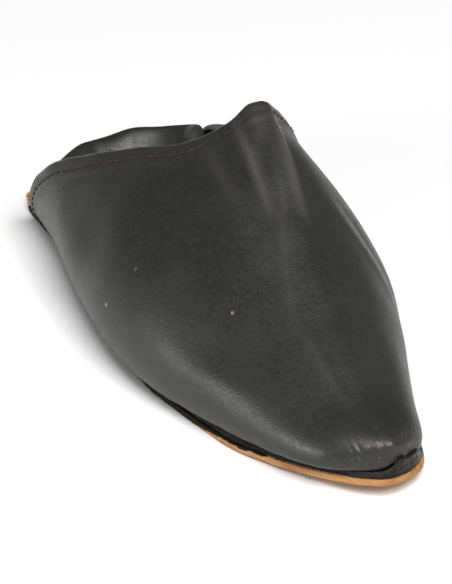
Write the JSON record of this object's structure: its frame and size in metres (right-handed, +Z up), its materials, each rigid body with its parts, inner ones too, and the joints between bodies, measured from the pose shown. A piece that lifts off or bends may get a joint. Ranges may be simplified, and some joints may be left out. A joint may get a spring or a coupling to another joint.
{
  "type": "babouche slipper",
  "caption": "Pointed leather babouche slipper, right foot, with a tall soft vamp, a trodden-down heel and a flat stitched sole.",
  "frame": {"origin": "on the floor, in the middle of the slipper's overall length and width", "axes": "+X from heel to toe, +Y to the big-toe (medial) side, +Z up"},
  "size_m": [0.258, 0.1016, 0.0842],
  "materials": {
    "tan_sole_leather": "undyed vegetable-tanned sole leather, matt, with a slightly fibrous cut edge",
    "black_sole_edge": "blackened leather edge, rough, a little glossy at the toe",
    "lining_leather": "dark lining leather, matt",
    "black_upper_leather": "soft black leather with fine grain and a broad satin sheen"
  },
  "bodies": {
    "root": {"outsole": "tan_sole_leather", "midsole": "black_sole_edge", "insole": "lining_leather", "upper": "black_upper_leather", "heel_quarter": "black_upper_leather"}
  },
  "joints": []
}
